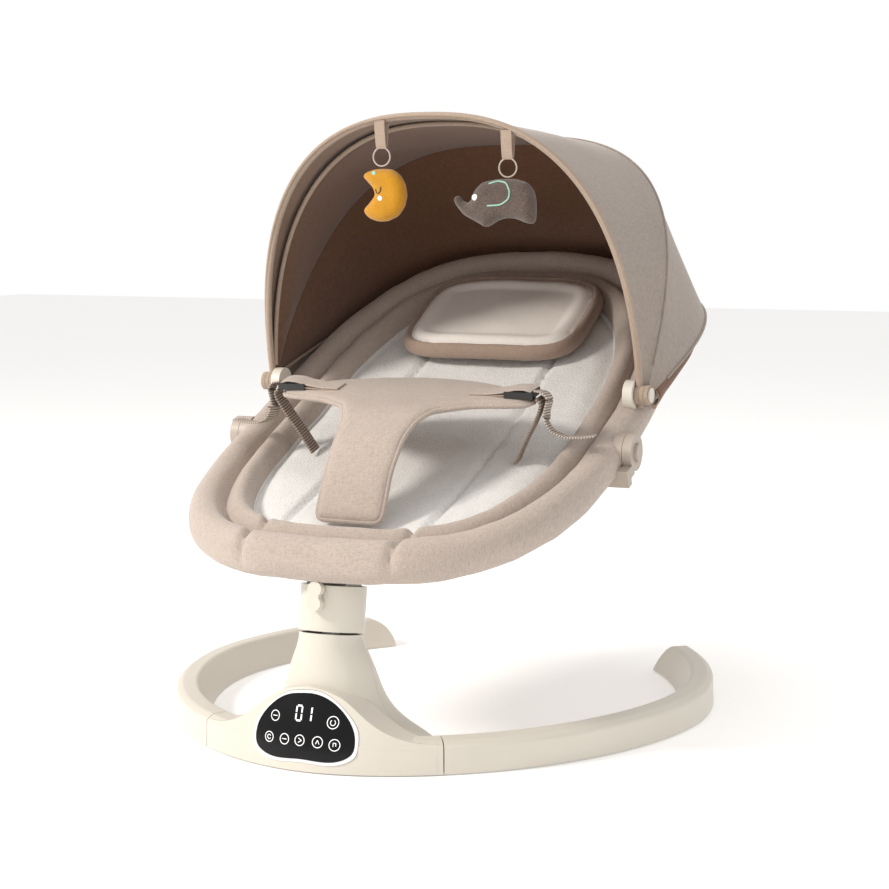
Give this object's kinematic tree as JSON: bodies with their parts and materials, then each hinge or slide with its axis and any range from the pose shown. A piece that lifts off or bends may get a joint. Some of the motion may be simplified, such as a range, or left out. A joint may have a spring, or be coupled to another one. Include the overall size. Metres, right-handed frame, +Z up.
{
  "type": "baby swing",
  "caption": "Electric baby swing: reclining padded seat with harness pad and folding canopy, on a leaning column over an open floor ring.",
  "frame": {"origin": "centre of the bounding box at the floor", "axes": "+Z up, +Y towards the head end of the seat, the control panel faces -Y, +X to the right seen from the front"},
  "size_m": [0.6, 0.7504, 0.6578],
  "materials": {
    "bezel_white": "white gloss",
    "black_plastic": "black moulding",
    "board": "circuit board",
    "button_plastic": "light taupe plastic",
    "canopy_cloth": "taupe canopy cloth",
    "copper": "copper winding",
    "cream_plastic": "satin cream moulding",
    "grey_marl": "grey marl knit",
    "magnet": "nickel plated",
    "moon_felt": "yellow felt",
    "panel_glass": "black gloss",
    "pillow_cloth": "pillow cloth",
    "rubber": "rubber foot",
    "seat_linen": "taupe linen weave",
    "shaft_steel": "turned steel",
    "tube_steel": "powder coat",
    "webbing": "ribbed webbing"
  },
  "bodies": {
    "base": {"left_arm": "cream_plastic", "right_arm": "cream_plastic", "arm_strips": "cream_plastic", "pod_front_shell": "cream_plastic", "pod_rear_cover": "cream_plastic", "bottom_plate": "cream_plastic", "control_panel": "panel_glass", "panel_bezel": "bezel_white", "touch_board": "board", "bearing_tube": "tube_steel", "spindle_bearings": "shaft_steel", "drive_coil": "copper", "coil_core": "shaft_steel", "main_board": "board", "speaker": "black_plastic", "power_inlet": "black_plastic", "base_screws": "shaft_steel", "rubber_feet": "rubber"},
    "swing": {"column_sleeve": "cream_plastic", "spindle": "shaft_steel", "magnet_arm": "tube_steel", "drive_magnets": "magnet", "seat_bracket": "tube_steel", "cross_bar": "tube_steel", "foot_frame": "tube_steel", "foot_pad": "seat_linen", "left_hinge_outer": "button_plastic", "right_hinge_outer": "button_plastic", "hinge_pins": "shaft_steel", "left_lap_strap": "webbing", "right_lap_strap": "webbing"},
    "lock_knob": {"lock_knob": "cream_plastic", "lock_pin": "shaft_steel"},
    "backrest": {"back_frame": "tube_steel", "back_pad": "seat_linen", "left_hinge_inner": "button_plastic", "right_hinge_inner": "button_plastic", "left_clip_bracket": "tube_steel", "right_clip_bracket": "tube_steel", "left_canopy_clip": "cream_plastic", "right_canopy_clip": "cream_plastic", "rear_bow": "tube_steel", "head_skirt": "canopy_cloth", "head_pillow": "pillow_cloth"},
    "left_button": {"left_recline_button": "button_plastic"},
    "right_button": {"right_recline_button": "button_plastic"},
    "canopy_mid": {"mid_bow": "tube_steel", "rear_panel": "canopy_cloth"},
    "canopy_front": {"front_bow": "tube_steel", "front_panel": "canopy_cloth", "moon_loop": "canopy_cloth", "elephant_loop": "canopy_cloth"},
    "moon": {"moon_ring": "button_plastic", "moon_toy": "moon_felt"},
    "elephant": {"elephant_ring": "button_plastic", "elephant_toy": "grey_marl"},
    "harness": {"crotch_pad": "seat_linen", "left_buckle": "black_plastic", "right_buckle": "black_plastic"}
  },
  "joints": [
    {"name": "swing", "type": "hinge", "parent": "base", "child": "swing", "pos_m": [0, -0.307, 0.129], "axis": [0, 0.1564, 0.9877], "range_deg": [-12, 12]},
    {"name": "lock_turn", "type": "hinge", "parent": "swing", "child": "lock_knob", "pos_m": [0, -0.30137, 0.16456], "axis": [0, -0.9877, 0.1564], "range_deg": [0, 90]},
    {"name": "recline", "type": "hinge", "parent": "swing", "child": "backrest", "pos_m": [0, -0.069, 0.297], "axis": [-1, 0, 0], "range_deg": [0, 20]},
    {"name": "left_press", "type": "slide", "parent": "swing", "child": "left_button", "axis": [1, 0, 0], "range_m": [0, 0.0018], "stiffness_N_per_m": 600},
    {"name": "right_press", "type": "slide", "parent": "swing", "child": "right_button", "axis": [-1, 0, 0], "range_m": [0, 0.0018], "stiffness_N_per_m": 600},
    {"name": "canopy_mid_fold", "type": "hinge", "parent": "backrest", "child": "canopy_mid", "pos_m": [0, -0.013, 0.353], "axis": [-1, 0, 0], "range_deg": [0, 28], "deforming": ["rear_panel"]},
    {"name": "canopy_front_fold", "type": "hinge", "parent": "canopy_mid", "child": "canopy_front", "pos_m": [0, -0.013, 0.353], "axis": [-1, 0, 0], "range_deg": [0, 30], "deforming": ["front_panel"]},
    {"name": "moon_swing", "type": "hinge", "parent": "canopy_front", "child": "moon", "pos_m": [-0.053, -0.07725, 0.61927], "axis": [1, 0, 0], "range_deg": [-25, 25]},
    {"name": "elephant_swing", "type": "hinge", "parent": "canopy_front", "child": "elephant", "pos_m": [0.095, -0.07447, 0.60653], "axis": [1, 0, 0], "range_deg": [-25, 25]},
    {"name": "harness_open", "type": "hinge", "parent": "swing", "child": "harness", "pos_m": [0, -0.264, 0.246], "axis": [1, 0, 0], "range_deg": [0, 60]}
  ],
  "couplings": [
    {"joint": "canopy_front_fold", "follows": "canopy_mid_fold", "ratio": 1.0714}
  ]
}
